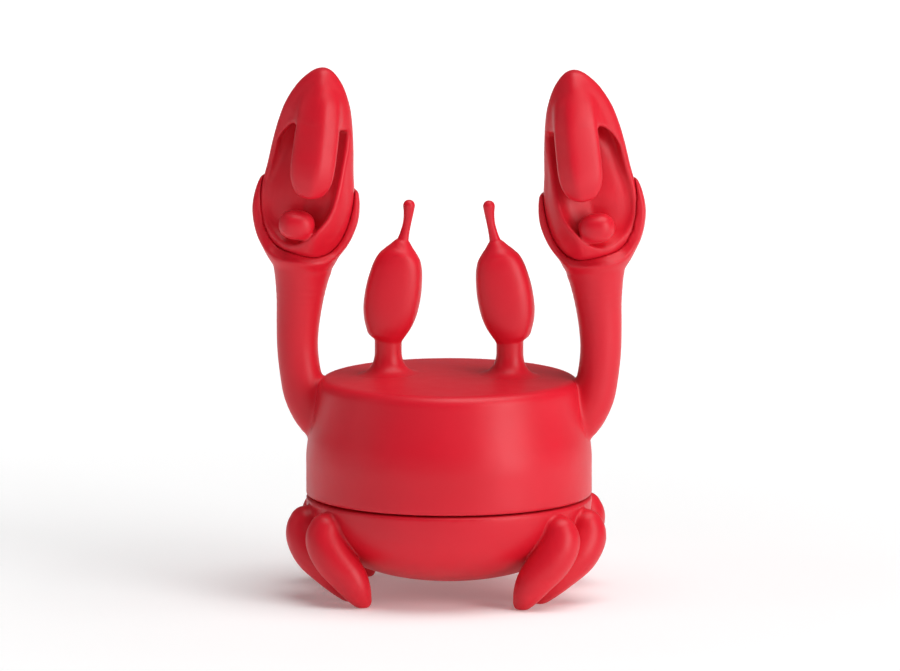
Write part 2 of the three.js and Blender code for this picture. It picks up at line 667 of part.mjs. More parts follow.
// The flared foot of the stalk, its neck and the shallow seat under the eye.
function stalkNeck() {
  const outline = [
    [0, 43],
    [6.6, 43],
    [6.2, 44.9],
    [4.3, 45.9],
    [3.3, 47.3],
    [STALK_NECK_RADIUS, 49.4],
    [STALK_NECK_RADIUS, 51],
    [EYE_SEAT_RADIUS, EYE_SEAT_Z],
    [0, EYE_SEAT_Z],
  ];
  return solid(turned(outline, 16).translate(STALK_X, STALK_Y, 0));
}

const eyestalk = () => stalkNeck().subtract(drumClearance()).add(stalkCore());

const stalkBore = () => upright(PLUG_RADIUS + GAP, 36, 50, STALK_X, STALK_Y);

function eyeMatrix() {
  const lean = new THREE.Matrix4().makeRotationY(radians(-EYE_LEAN));
  return new THREE.Matrix4().makeTranslation(EYE_CENTRE.x, EYE_CENTRE.y, EYE_CENTRE.z).multiply(lean);
}

// A pointed egg: [height, half width] about the eye's own middle.
const EYE_ROWS = [
  [-9.1, 1.8],
  [-8.5, 3.2],
  [-6.9, 4.25],
  [-3.7, 5.3],
  [0, 5.6],
  [4, 5.3],
  [6.5, 4.8],
  [8, 4.2],
  [9.3, 3.2],
  [10.6, 1.9],
  [11.1, 1.2],
];

function eyeball(grow = 0) {
  const rows = EYE_ROWS.map(([z, radius]) => [z, radius, -radius * EYE_DEPTH, radius * EYE_DEPTH]);
  return moved(rod(levelRings(rows, grow), 18), eyeMatrix());
}

// The flat front of the eye, below the line of its lid.
const eyeFace = () => moved(box(point(-8, -8, -12), point(8, -EYE_FACE_Y, EYE_LID_Z)), eyeMatrix());

function eye() {
  const socket = upright(EYE_PEG_RADIUS + GAP, 45, EYE_PEG_TOP_Z + GAP, STALK_X, STALK_Y);
  const seat = upright(EYE_SEAT_RADIUS + GAP, 45, EYE_SEAT_Z + GAP, STALK_X, STALK_Y);
  return cutAll(eyeball(), [eyeFace(), socket, seat, moved(hornPeg(GAP), eyeMatrix())]);
}

const hornPeg = (grow = 0) => upright(HORN_RADIUS + grow, 6.5 - grow, 14, 0, 0, 10);

function eyeHorn() {
  const curve = new THREE.CatmullRomCurve3([
    point(9.5, STALK_Y, 70),
    point(8.9, STALK_Y, 72.5),
    point(8.2, STALK_Y, 75.8),
    point(8.0, STALK_Y, 78.3),
  ]);
  const shaft = [[0, 1.5], [0.25, 1.0], [0.4, HORN_RADIUS], [0.65, HORN_RADIUS]];
  const radiusRows = [...shaft, [0.88, HORN_BULB_RADIUS], [1, HORN_BULB_RADIUS]];
  const radiusAt = (at) => interpolated(radiusRows, at);
  const across = point(0, 1, 0);
  const horn = rod(ringsAlong(curve, { widthAt: radiusAt, depthAt: radiusAt, across, count: 7 }), 10);
  return horn.subtract(eyeball(GAP)).add(moved(upright(HORN_RADIUS, 6.5, 11.6, 0, 0, 10), eyeMatrix()));
}

// ---------------------------------------------------------------- shells with their openings

function carapace() {
  const shell = solid(turned(drumOutline(), SHELL_SEGMENTS)).subtract(carapaceHollow());
  const ceiling = DRUM_EDGE_Z - DRUM_WALL + 1;
  const bossBottom = UPPER_PAD_BOTTOM_Z + PAD_THICKNESS + DECK_THICKNESS + 2 * GAP;
  const bosses = screwSpots().map(([x, y]) => upright(BOSS_RADIUS, bossBottom, ceiling, x, y));
  const webs = knuckleWebs(UPPER_KNUCKLE, 1);
  const full = unite([shell, ...bosses, webs, knucklePair(UPPER_KNUCKLE)]);
  const holeRadius = SCREW_RADIUS + RUNNING_GAP;
  const screwHoles = screwSpots().map(([x, y]) => upright(holeRadius, bossBottom - 1, bossBottom + 9, x, y));
  const rightSide = [armPlug(GAP), stalkBore()];
  const sides = [...rightSide, ...rightSide.map(mirrored)];
  return cutAll(full, [...screwHoles, ...sides, knucklePair(LOWER_KNUCKLE, GAP), springPocket(), pinBore()]);
}

function baseBowl() {
  const hollow = solid(turned(bowlOutline(BOWL_WALL), HOLLOW_SEGMENTS));
  const shell = solid(turned(bowlOutline(), SHELL_SEGMENTS)).subtract(hollow);
  const bossTop = LOWER_PAD_TOP_Z - PAD_THICKNESS - DECK_THICKNESS - 2 * GAP;
  const bosses = screwSpots().map(([x, y]) => upright(BOSS_RADIUS, 7.2, bossTop, x, y));
  const webs = knuckleWebs(LOWER_KNUCKLE, -1);
  const full = unite([shell, ...bosses, webs, knucklePair(LOWER_KNUCKLE)]);
  const holeRadius = SCREW_RADIUS + RUNNING_GAP;
  const screwHoles = screwSpots().map(([x, y]) => upright(holeRadius, bossTop - 7.4, bossTop + 1, x, y));
  const rightBores = Object.values(LEGS).map(({ azimuth }) => legSpigot(azimuth, GAP));
  const sides = [...rightBores, ...rightBores.map(mirrored)];
  return cutAll(full, [...screwHoles, ...sides, knucklePair(UPPER_KNUCKLE, GAP), springPocket(), pinBore()]);
}

// ---------------------------------------------------------------- the assembly

const crab = new THREE.Group();
crab.position.y = -REAR_OVERHANG / 2;

function place(name, body, material, parent = crab) {
  const mesh = new THREE.Mesh(geometryOf(body), material);
  mesh.name = name;
  parent.add(mesh);
}

function placePair(name, body, material) {
  place(`${name}_right`, body, material);
  place(`${name}_left`, mirrored(body), material);
}

// The claws' pieces keep their own frame and are placed by their group, once on each side.
function placeClaws() {
  const pieces = [['claw_palm', clawPalm()], ['claw_finger', clawFinger()], ['claw_thumb', clawThumb()]];
  for (const [side, sign] of [['right', 1], ['left', -1]]) {
    const group = new THREE.Group();
    group.position.set(sign * WRIST.x, WRIST.y, WRIST.z);
    group.rotation.y = radians(-sign * CLAW_LEAN);
    crab.add(group);
    for (const [name, body] of pieces) {
      place(`${name}_${side}`, sign > 0 ? body : mirrored(body), satinRed(), group);
    }
  }
}

const upperDeckZ = UPPER_PAD_BOTTOM_Z + PAD_THICKNESS + GAP;
const lowerDeckZ = LOWER_PAD_TOP_Z - PAD_THICKNESS - GAP - DECK_THICKNESS;

place('base_bowl', baseBowl(), satinRed());
place('base_deck', deck(lowerDeckZ, 1), deckRed());
place('lower_grip_pad', gripPad(LOWER_PAD_TOP_Z - PAD_THICKNESS, 1), padRed());
place('carapace', carapace(), satinRed());
place('carapace_deck', deck(upperDeckZ, -1), deckRed());
place('upper_grip_pad', gripPad(UPPER_PAD_BOTTOM_Z, -1), padRed());
place('hinge_pin', hingePin(), steel());
place('jaw_spring', jawSpring(), steel());
screwSpots().forEach((spot, i) => {
  place(`base_screw_${i + 1}`, deckScrew(spot, lowerDeckZ + DECK_THICKNESS - SCREW_HEAD_HEIGHT, 1), steel());
  place(`carapace_screw_${i + 1}`, deckScrew(spot, upperDeckZ + SCREW_HEAD_HEIGHT, -1), steel());
});
for (const [name, row] of Object.entries(LEGS)) placePair(`leg_${name}`, leg(row), satinRed());
placePair('arm', arm(), satinRed());
placeClaws();
placePair('eyestalk', eyestalk(), satinRed());
placePair('eye', eye(), satinRed());
placePair('eye_horn', eyeHorn(), satinRed());

export default crab;
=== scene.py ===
"""Looks of the crab utensil rest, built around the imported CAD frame.

The soft outer pieces are written as distance fields in millimetres about the body's vertical axis.
They are meshed with surface nets and moved onto the field's zero surface, so every fillet, lip and crease is
geometry.
"right" is the +X side; the left pieces are mirror images.
"""
import math

import bpy
import numpy as np
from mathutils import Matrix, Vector


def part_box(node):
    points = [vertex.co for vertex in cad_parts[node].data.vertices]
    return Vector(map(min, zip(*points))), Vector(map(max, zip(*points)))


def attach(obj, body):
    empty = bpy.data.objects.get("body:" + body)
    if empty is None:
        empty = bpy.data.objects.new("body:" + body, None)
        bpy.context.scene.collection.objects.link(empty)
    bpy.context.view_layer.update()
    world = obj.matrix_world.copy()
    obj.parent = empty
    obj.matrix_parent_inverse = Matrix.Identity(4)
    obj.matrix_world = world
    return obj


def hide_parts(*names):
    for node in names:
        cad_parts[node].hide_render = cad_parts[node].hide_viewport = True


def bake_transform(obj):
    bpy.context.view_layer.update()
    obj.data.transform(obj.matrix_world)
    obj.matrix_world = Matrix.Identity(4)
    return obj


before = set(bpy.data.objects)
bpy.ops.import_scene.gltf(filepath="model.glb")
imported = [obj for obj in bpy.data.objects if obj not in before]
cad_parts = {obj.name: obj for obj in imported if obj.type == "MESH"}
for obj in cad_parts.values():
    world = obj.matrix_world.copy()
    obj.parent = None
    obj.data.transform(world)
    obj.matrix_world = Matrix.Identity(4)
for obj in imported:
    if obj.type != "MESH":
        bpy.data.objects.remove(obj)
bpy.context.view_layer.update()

# ---------------------------------------------------------------- dimensions, in millimetres

MM = 0.001
DECK_LOW, DECK_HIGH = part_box("carapace_deck")
AXIS_Y = (DECK_LOW.y + DECK_HIGH.y) / 2 / MM  # the body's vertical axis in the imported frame
SINK = 0.06  # how far a piece's fillet runs on below its neighbour's surface

SEAM_Z = 20.1
SEAM_HALF_GAP = 0.18
DRUM_WALL = 3.2
DRUM_SIDE = [
    [20, 28.6],
    [25, 28.6],
    [29, 28.55],
    [31.3, 28.25],
    [34.7, 27.5],
    [38.2, 26.8],
    [41.2, 26.3],
    [46, 25.6],
]
DRUM_CROWN_Z = 44.6
DRUM_SAG = 0.95  # how much lower the dome is at DRUM_EDGE_RADIUS
DRUM_EDGE_RADIUS = 24.6
BOWL_RADIUS = 28.6
BOWL_DEPTH = 16.6
BOWL_WALL = 3.0
BOWL_ROUNDNESS = 2.3
BOWL_FIELD_SCALE = 22  # turns the bowl's relative reach into about millimetres
DRUM_HOLLOW_TOP_Z = 39.8

HINGE_Y = 30.2
KNUCKLE_RADIUS = 2.8
WEB_START_Y = 24  # the knuckles' webs begin inside the shell's wall
PIN_RADIUS = 1.2
BORE_GAP = 0.1
UPPER_KNUCKLE = (3.9, 7.6)  # from and to, along x
LOWER_KNUCKLE = (7.9, 13.0)
KNUCKLE_GAP = 0.3
SPRING_X = 2.9
POCKET_RADIUS = 3.2
POCKET_HALF_WIDTH = 3.9
SLOT_Y = 26  # the slots let the spring's two legs into the shells
SLOT_HALF_SIZES = (0.9, 4.2, 6.8)
COIL_RADIUS = 2.2
WIRE_RADIUS = 0.55

WRIST = np.array([28.65, 0.0, 77.5])
CLAW_LEAN = math.radians(6.6)
OPENING_TURN = math.radians(24)
FINGER_X = -0.9

EYE_CENTRE = np.array([11.3, 0.0, 60.0])
EYE_LEAN = math.radians(10)
STALK_X = 12.2

# azimuth of the lobe and sweep to the foot in degrees, and how far the foot is tucked in
LEGS = {"front": (53, -13, 0), "mid": (73, -15, 2.6), "rear": (115, 19, 0)}

# ---------------------------------------------------------------- curves and fields


def smooth_curve(rows):
    """A smooth function through [key, value] rows, straight beyond both ends."""
    keys = np.array([row[0] for row in rows], float)
    values = np.array([row[1] for row in rows], float)
    slopes = np.gradient(values, keys)

    def curve(at):
        index = np.clip(np.searchsorted(keys, at) - 1, 0, len(keys) - 2)
        width = keys[index + 1] - keys[index]
        t = (at - keys[index]) / width
        inner = np.clip(t, 0, 1)
        h00 = 2 * inner**3 - 3 * inner**2 + 1
        h10 = inner**3 - 2 * inner**2 + inner
        h01 = 3 * inner**2 - 2 * inner**3
        h11 = inner**3 - inner**2
        start = h00 * values[index] + h10 * width * slopes[index]
        end = h01 * values[index + 1] + h11 * width * slopes[index + 1]
        beyond = np.minimum(t, 0) * width * slopes[index] + np.maximum(t - 1, 0) * width * slopes[index + 1]
        return start + end + beyond

    return curve


def smooth_rows(rows, count):
    """Rows of numbers resampled along a smooth curve through them."""
    rows = np.array(rows, float)
    steps = np.arange(len(rows), dtype=float)
    at = np.linspace(0, len(rows) - 1, count)
    return np.stack([smooth_curve(list(zip(steps, rows[:, i])))(at) for i in range(rows.shape[1])], 1)


def join(a, b, radius):
    """Union of two fields with a fillet."""
    mix = np.clip(radius - np.abs(a - b), 0, None) / radius
    return np.minimum(a, b) - mix * mix * radius / 4


def common(a, b, radius):
    """Intersection of two fields with a rounded edge."""
    return -join(-a, -b, radius)


def cut(a, b, radius):
    """Field a without field b, with a rounded edge."""
    return common(a, -b, radius)


def tube(p, rows, count=26):
    """Distance to a rod through rows of [x, y, z, radius]."""
    path = smooth_rows(rows, count)
    best = np.full(len(p), 1e9)
    for a, b in zip(path[:-1], path[1:]):
        along = b[:3] - a[:3]
        t = np.clip(((p - a[:3]) @ along) / (along @ along), 0, 1)
        off = p - a[:3] - t[:, None] * along
        best = np.minimum(best, np.sqrt((off * off).sum(1)) - (a[3] + t * (b[3] - a[3])))
    return best


def column(p, x, y, radius):
    """An endless upright cylinder."""
    return np.hypot(p[:, 0] - x, p[:, 1] - y) - radius


def egg(p, rows, ridge=0.0, apex=1.0, crest=None):
    """A closed form of level ellipses from rows of [z, half width, y of the middle, half depth].

    ridge makes the front roof-like: it is how steeply the front falls away on both sides of its crest.
    apex rounds the crest, and crest gives its place along x as rows of [z, x].
    """
    z = p[:, 2]
    square = smooth_curve([[row[0], row[1] ** 2] for row in rows])(z)
    middle = smooth_curve([[row[0], row[2]] for row in rows])(z)
    stretch = smooth_curve([[row[0], row[1] / row[3]] for row in rows])(z)
    y = p[:, 1] - middle
    if ridge:
        front = np.clip(-y / 3, 0, 1)
        off = p[:, 0] - (smooth_curve(crest)(z) if crest else 0)
        y = y - ridge * (np.sqrt(off**2 + apex**2) - apex) * front * front * (3 - 2 * front)
    across = p[:, 0] ** 2 + (y * stretch) ** 2
    return (across - square) / (np.sqrt(across) + np.sqrt(np.maximum(square, 0)) + 0.3)


# ---------------------------------------------------------------- frames of the claw and the eye


def lean_matrix(angle):
    c, s = math.cos(angle), math.sin(angle)
    return np.array([[c, 0, -s], [0, 1, 0], [s, 0, c]])


def to_claw(p):
    return (p - WRIST) @ lean_matrix(CLAW_LEAN)


def from_claw(p):
    return p @ lean_matrix(CLAW_LEAN).T + WRIST


def to_eye(p):
    return (p - EYE_CENTRE) @ lean_matrix(EYE_LEAN)


# ---------------------------------------------------------------- the two halves of the body


def drum_outside(p):
    r = np.hypot(p[:, 0], p[:, 1])
    side = r - smooth_curve(DRUM_SIDE)(p[:, 2])
    dome = p[:, 2] - (DRUM_CROWN_Z - DRUM_SAG * (r / DRUM_EDGE_RADIUS) ** 2)
    rim = SEAM_Z + SEAM_HALF_GAP - p[:, 2]
    return common(common(side, dome, 2.0), rim, 0.4)


def bowl_outside(p, shrink=0.0):
    r = np.hypot(p[:, 0], p[:, 1])
    depth = np.maximum(SEAM_Z - SEAM_HALF_GAP - p[:, 2], 0) / (BOWL_DEPTH - shrink)
    reach = (r / (BOWL_RADIUS - shrink)) ** BOWL_ROUNDNESS + depth**BOWL_ROUNDNESS
    return (reach ** (1 / BOWL_ROUNDNESS) - 1) * BOWL_FIELD_SCALE


def knuckles(p, span, up, grow=0.0):
    """One jaw's pair of hinge knuckles; up is 1 for the upper jaw, -1 for the lower, 0 for no webs."""
    x = np.abs(np.abs(p[:, 0]) - (span[0] + span[1]) / 2) - (span[1] - span[0]) / 2 - grow
    barrel = np.hypot(p[:, 1] - HINGE_Y, p[:, 2] - SEAM_Z) - KNUCKLE_RADIUS - grow
    if up == 0:
        return common(barrel, x, 0.3)
    rise = up * (p[:, 2] - SEAM_Z)
    reach = np.maximum(WEB_START_Y - p[:, 1], p[:, 1] - HINGE_Y)
    web = np.maximum(reach, np.maximum(0.35 - rise, rise - KNUCKLE_RADIUS))
    return common(np.minimum(barrel, web), x, 0.5)


def hinge_cuts(p, other):
    """What both jaws leave free: the other jaw's knuckles, the pin's bore and the spring's pocket."""
    barrel = np.hypot(p[:, 1] - HINGE_Y, p[:, 2] - SEAM_Z)
    bore = barrel - PIN_RADIUS - BORE_GAP
    pocket = np.maximum(barrel - POCKET_RADIUS, np.abs(p[:, 0]) - POCKET_HALF_WIDTH)
    slot_x = np.abs(np.abs(p[:, 0]) - SPRING_X) - SLOT_HALF_SIZES[0]
    slot_y = np.abs(p[:, 1] - SLOT_Y) - SLOT_HALF_SIZES[1]
    slot_z = np.abs(p[:, 2] - SEAM_Z) - SLOT_HALF_SIZES[2]
    slots = np.maximum(np.maximum(slot_x, slot_z), slot_y)
    return np.minimum(np.minimum(bore, pocket), np.minimum(slots, knuckles(p, other, 0, KNUCKLE_GAP)))


def carapace_field(p):
    outside = drum_outside(p)
    r = np.hypot(p[:, 0], p[:, 1])
    side = r - (smooth_curve(DRUM_SIDE)(p[:, 2]) - DRUM_WALL)
    hollow = common(side, p[:, 2] - DRUM_HOLLOW_TOP_Z, 3.0)
    shell = cut(outside, hollow, 0.5)
    shell = join(shell, knuckles(p, UPPER_KNUCKLE, 1), 0.9)
    return cut(shell, hinge_cuts(p, LOWER_KNUCKLE), 0.3)


def bowl_field(p):
    rim = p[:, 2] - (SEAM_Z - SEAM_HALF_GAP)
    shell = cut(common(bowl_outside(p), rim, 0.6), bowl_outside(p, BOWL_WALL), 0.6)
    shell = join(shell, knuckles(p, LOWER_KNUCKLE, -1), 0.9)
    return cut(shell, hinge_cuts(p, UPPER_KNUCKLE), 0.3)


# ---------------------------------------------------------------- legs

LEG_DRUM_RADIUS = 28.95  # the lobes stay outside this radius above the parting line

# share of the sweep, distance from the body's axis, height and radius along a leg, from its lobe to its foot
LEG_ROWS = [
    [0, 29.4, 15.4, 3.3],
    [0, 29.5, 13.8, 3.85],
    [0.1, 29.3, 12, 4.05],
    [0.33, 28.5, 9.4, 4.0],
    [0.68, 27.0, 6.4, 3.65],
    [0.9, 26.1, 3.9, 2.95],
    [1, 24.9, 1.5, 1.9],
]


def leg_rows(azimuth, sweep, tuck):
    """The crescent's middle line with its radius, as rows of [x, y, z, radius]."""
    rows = []
    for share, reach, z, width in LEG_ROWS:
        angle = math.radians(azimuth + sweep * share)
        radius = reach - tuck * share**2
        rows.append([radius * math.sin(angle), -radius * math.cos(angle), z, width])
    return rows


def leg_field(rows):
    """One leg with its fillet on the bowl, down to a little below the bowl's surface."""

    def field(p):
        limb = tube(p, rows)
        bowl = bowl_outside(p) + SINK
        merged = join(limb, bowl, 0.9)
        near = common(merged, limb - 1.3, 0.3)
        near = np.maximum(near, -(bowl + 1.6))
        drum = np.maximum(np.hypot(p[:, 0], p[:, 1]) - LEG_DRUM_RADIUS, SEAM_Z - 0.1 - p[:, 2])
        return common(np.maximum(near, -drum), -p[:, 2], 0.35)

    return field


# ---------------------------------------------------------------- arms

ARM_ROWS = [
    [26.6, 0, 35.2, 3.9],
    [27.5, 0, 37.2, 4.3],
    [29.0, 0, 40.5, 4.25],
    [29.9, 0, 44.7, 4.1],
    [30.4, 0, 49.6, 4.1],
    [30.3, 0, 54.4, 4.3],
    [29.9, 0, 59.3, 4.7],
    [29.5, 0, 64, 5.4],
    [29.2, 0, 67, 6.1],
]
CUP_ROWS = [
    [-12.5, 3.6, 0, 3.6],
    [-11.5, 5.4, 0, 5.4],
    [-8.5, 7.9, 0, 7.9],
    [-6.1, 9.3, 0, 9.3],
    [-3.6, 10.2, 0, 10.2],
    [-1, 10.7, 0, 10.7],
    [1.5, 10.65, 0, 10.65],
    [4, 10.2, 0, 10.2],
    [7, 9.0, 0, 9.0],
]
CUP_TOP_Z = 5.4
CUP_TOP_TILT = 0.06
CUP_FRONT_Y = -1.2  # where the front scoop begins
CUP_FRONT_Z = -10.0  # the rim's height in front, where the palm stands free of the cup
CUP_GAP = 0.1  # between the cup and the palm


def arm_field(p):
    limb = tube(p, ARM_ROWS)
    local = to_claw(p)
    cup = egg(local, CUP_ROWS)
    behind = local[:, 1] - CUP_FRONT_Y + 0.12 * (5 - local[:, 2])
    scoop = common(behind, CUP_FRONT_Z - local[:, 2], 4.0)
    top = local[:, 2] - CUP_TOP_Z - CUP_TOP_TILT * local[:, 0]
    cup = common(cut(cup, scoop, 0.7), top, 1.0)
    limb = join(limb, cup, 1.6)
    limb = cut(limb, palm_outside(local) - CUP_GAP, 0.5)
    drum = drum_outside(p) + SINK
    merged = common(join(limb, drum, 1.3), limb - 1.7, 0.3)
    return np.maximum(merged, -(drum + 2.0))


# ---------------------------------------------------------------- claws, in their own frame

PALM_ROWS = [
    [-10.1, 2.8, 0, 2.8],
    [-9.3, 5.0, -0.1, 5.1],
    [-6.8, 7.45, -0.15, 7.6],
    [-3.8, 8.7, -0.25, 8.9],
    [0, 9.3, -0.3, 9.5],
    [2.5, 9.4, -0.35, 9.5],
    [8.5, 8.65, -0.5, 8.9],
    [13.4, 8.1, -0.85, 8.2],
    [18.2, 7.3, -1.3, 7.1],
    [20.7, 6.7, -1.7, 6.3],
    [23.1, 5.8, -2.0, 5.3],
    [25.5, 4.55, -2.2, 4.0],
    [27.6, 2.85, -2.3, 2.5],
    [28.8, 1.2, -2.3, 1.15],
]
PALM_CREST = [[8, -2.6], [15, -2.4], [20, -1.6], [25, -0.6], [29, 0]]
PALM_TIP_BEND = 0.5  # how far the tip leans inwards
PALM_BEND_START_Z, PALM_BEND_LENGTH = 14, 15
RIDGE = 0.34  # how steeply the hood and the finger fall away from their crests

# the dish in front of the palm, by height unless said otherwise
DISH_CENTRES = [[2.6, -0.5], [4.6, -0.8], [8, -1.5], [11, -1.9], [15, -2.1], [18, -2.1]]
DISH_HALF_WIDTHS = [[2.6, 8.1], [4.6, 8.2], [8, 8.0], [11, 7.7], [15, 7.4], [18, 7.0]]
DISH_MIDDLE_Z = 2.6
DISH_DROP = 9.9  # from the middle down to the dish's lower edge
DISH_FLOOR = [[-6, 3.4], [-2, 2.5], [4, 2.0], [8, 1.2], [12, 0.3], [18, -0.6]]
DISH_SLOPE = 0.15  # the floor rises towards the claw's outer side
# greatest depth below the palm's outer surface, by place across the dish
DISH_DEPTHS = [[-2, 9.0], [0.5, 6.4], [2, 5.0], [4, 3.5], [6, 2.5], [8, 1.8]]
GROOVE_ROOF = [  # upper end of the grooves beside the finger, by place along x
    [-9, 14.5],
    [-7.6, 16.1],
    [-6.5, 17.0],
    [-5.4, 17.1],
    [-2, 17.4],
    [3.0, 17.7],
    [4.4, 17.3],
    [6, 15.4],
    [8, 11.5],
]
FINGER_ROWS = [
    [3.3, 1.0, -7.9, 0.8],
    [3.9, 2.4, -7.9, 1.6],
    [5.2, 3.5, -7.9, 2.2],
    [7.2, 4.2, -7.9, 2.6],
    [9.8, 4.45, -7.75, 2.7],
    [13, 4.45, -7.2, 2.75],
    [16.5, 4.4, -6.6, 2.8],
    [20, 4.1, -5.9, 2.7],
    [23, 3.4, -5.0, 2.3],
    [25, 1.6, -4.3, 1.2],
]
FINGER_CREST = [[3, -0.4], [7, -1.0], [24, -1.1]]
FINGER_ROOT_Z = 14.8  # the palm holds the finger's root above this height
THUMB_CENTRE = np.array([1.05, -6.6, -2.5])
THUMB_AXES = np.array([3.6, 3.2, 2.95])
THUMB_ROUNDNESS = 2.3
THUMB_STEM = [[1.05, -5.4, -2.8, 2.5], [1.05, -1.6, -3.4, 2.5]]


def palm_outside(p):
    bend = np.clip((p[:, 2] - PALM_BEND_START_Z) / PALM_BEND_LENGTH, 0, 1)
    bent = p + np.stack([PALM_TIP_BEND * bend * bend, np.zeros(len(p)), np.zeros(len(p))], 1)
    return egg(bent, PALM_ROWS, RIDGE, 0.8, PALM_CREST)


def finger_field(p):
    shifted = p - np.array([FINGER_X, 0, 0])
    return egg(shifted, FINGER_ROWS, RIDGE, 0.7, FINGER_CREST)


def thumb_knob(p):
    scaled = (p - THUMB_CENTRE) / THUMB_AXES
    reach = (np.abs(scaled) ** THUMB_ROUNDNESS).sum(1) ** (1 / THUMB_ROUNDNESS)
    knob = (reach - 1) * THUMB_AXES[1]
    return join(knob, tube(p, THUMB_STEM, 2), 0.8)


def palm_body(p):
    """The hood and cup without the knob and the finger."""
    outside = palm_outside(p)
    forward = p[:, 0] * math.sin(OPENING_TURN) - p[:, 1] * math.cos(OPENING_TURN)
    outward = p[:, 0] * math.cos(OPENING_TURN) + p[:, 1] * math.sin(OPENING_TURN)
    width = smooth_curve(DISH_HALF_WIDTHS)(p[:, 2])
    across = (outward - smooth_curve(DISH_CENTRES)(p[:, 2])) / width
    down = np.minimum(p[:, 2] - DISH_MIDDLE_Z, 0) / DISH_DROP
    edge = (np.hypot(across, down) - 1) * width
    roof = p[:, 2] - smooth_curve(GROOVE_ROOF)(p[:, 0])
    slope = DISH_SLOPE * np.maximum(outward - 1, 0)
    floor = smooth_curve(DISH_FLOOR)(p[:, 2]) + slope - forward
    shallow = -(outside + smooth_curve(DISH_DEPTHS)(outward))
    dish = common(common(common(edge, floor, 4.2), shallow, 1.5), roof, 0.9)
    return cut(outside, dish, 1.0)


def palm_field(p):
    body = palm_body(p)
    fade = 0.12 * np.maximum(0, 18.5 - p[:, 2])  # the root sinks into the finger on its way down
    root = common(finger_field(p) + SINK + fade, FINGER_ROOT_Z - p[:, 2], 0.3)
    return join(body, root, 1.4)


def thumb_field(p):
    knob = thumb_knob(p)
    palm = palm_body(p) + SINK
    merged = common(join(knob, palm, 0.7), knob - 1.0, 0.3)
    return np.maximum(merged, -(palm + 1.2))


# ---------------------------------------------------------------- eyes

EYE_ROWS = [
    [-9.3, 1.5, 0, 1.4],
    [-8.7, 3.0, 0, 2.8],
    [-6.9, 4.25, 0, 4.0],
    [-3.7, 5.3, 0, 4.9],
    [0, 5.6, 0, 5.15],
    [4, 5.3, 0, 4.9],
    [6.5, 4.8, 0, 4.4],
    [8.0, 4.2, 0, 3.85],
    [9.3, 3.2, 0, 2.95],
    [10.6, 1.9, 0, 1.8],
    [11.3, 0.9, 0, 0.9],
]
LID_Z = 7.7
EYE_FACE_Y = 4.15  # how far the flattened face stands in front of the eye's middle
NECK_RADIUS = 2.7
NECK_TOP_Z = 53.6
HORN_ROWS = [
    [9.7, 0, 69.2, 1.5],
    [9.4, 0, 70.6, 1.25],
    [8.9, 0, 72.6, 0.95],
    [8.4, 0, 74.8, 0.85],
    [8.1, 0, 76.8, 1.0],
    [8.0, 0, 78.3, 1.2],
]


def eye_field(p):
    local = to_eye(p)
    ball = egg(local, EYE_ROWS)
    front = local[:, 1] + EYE_FACE_Y - 0.05 * local[:, 2] - 0.02 * local[:, 0] ** 2
    lid = local[:, 2] - (LID_Z - 0.05 * local[:, 0] ** 2)
    face = common(front, lid, 0.4)
    return cut(ball, face, 2.0)


def horn_field(p):
    horn = tube(p, HORN_ROWS)
    ball = eye_field(p) + SINK
    merged = common(join(horn, ball, 1.6), horn - 2.0, 0.3)
    return np.maximum(merged, -(ball + 0.9))


def stalk_field(p):
    neck = np.maximum(column(p, STALK_X, 0, NECK_RADIUS), p[:, 2] - NECK_TOP_Z)
    dome = drum_outside(p) + SINK
    foot = join(neck, dome, 4.6)
    ball = eye_field(p) + SINK
    merged = join(foot, ball, 0.9)
    near = common(merged, neck - 5.0, 0.3)
    near = np.maximum(near, p[:, 2] - NECK_TOP_Z + 0.2)
    near = np.maximum(near, -(ball + 0.9))
    return np.maximum(near, -(dome + 1.2))


# ---------------------------------------------------------------- grip pads

PAD_RADIUS = 23.2
PAD_HALF_THICKNESS = 1.0
PAD_RIM = 1.6
RIB_PITCH = 3.0
GROOVE_HALF_WIDTH = 0.6


def pad_field(middle_z, up):
    """A soft disc, its cross ribs on the side that up points to."""

    def field(p):
        disc = common(column(p, 0, 0, PAD_RADIUS), np.abs(p[:, 2] - middle_z) - PAD_HALF_THICKNESS, 0.8)
        across = np.abs((p[:, 1] + PAD_RADIUS + RIB_PITCH / 2) % RIB_PITCH - RIB_PITCH / 2)
        groove = np.maximum(across - GROOVE_HALF_WIDTH, 0.1 - up * (p[:, 2] - middle_z))
        inner = np.maximum(groove, column(p, 0, 0, PAD_RADIUS - PAD_RIM))
        return cut(disc, inner, 0.5)

    return field


# ---------------------------------------------------------------- surface nets


def gradient(field, points, reach=0.02):
    """The field's value and slope at points."""
    corners = np.array([[1, -1, -1], [-1, -1, 1], [-1, 1, -1], [1, 1, 1]], float)
    slope = np.zeros_like(points)
    total = np.zeros(len(points))
    for corner in corners:
        value = field(points + corner * reach)
        slope += value[:, None] * corner
        total += value
    return total / 4, slope / (4 * reach)


def settle(field, points, limit, rounds=2):
    """Points moved onto the field's zero surface."""
    for _ in range(rounds):
        value, slope = gradient(field, points)
        size = np.maximum((slope * slope).sum(1), 0.04)
        move = -slope * (value / size)[:, None]
        length = np.sqrt((move * move).sum(1))
        move *= np.minimum(1, limit / np.maximum(length, 1e-9))[:, None]
        points = points + move
    return points


def relax(points, quads):
    """Points moved halfway to the middle of their neighbours."""
    total = np.zeros_like(points)
    count = np.zeros(len(points))
    for i in range(4):
        a, b = quads[:, i], quads[:, (i + 1) % 4]
        for from_, to in ((a, b), (b, a)):
            for axis in range(3):
                total[:, axis] += np.bincount(to, points[from_, axis], len(points))
            count += np.bincount(to, minlength=len(points))
    return (points + total / np.maximum(count, 1)[:, None]) / 2


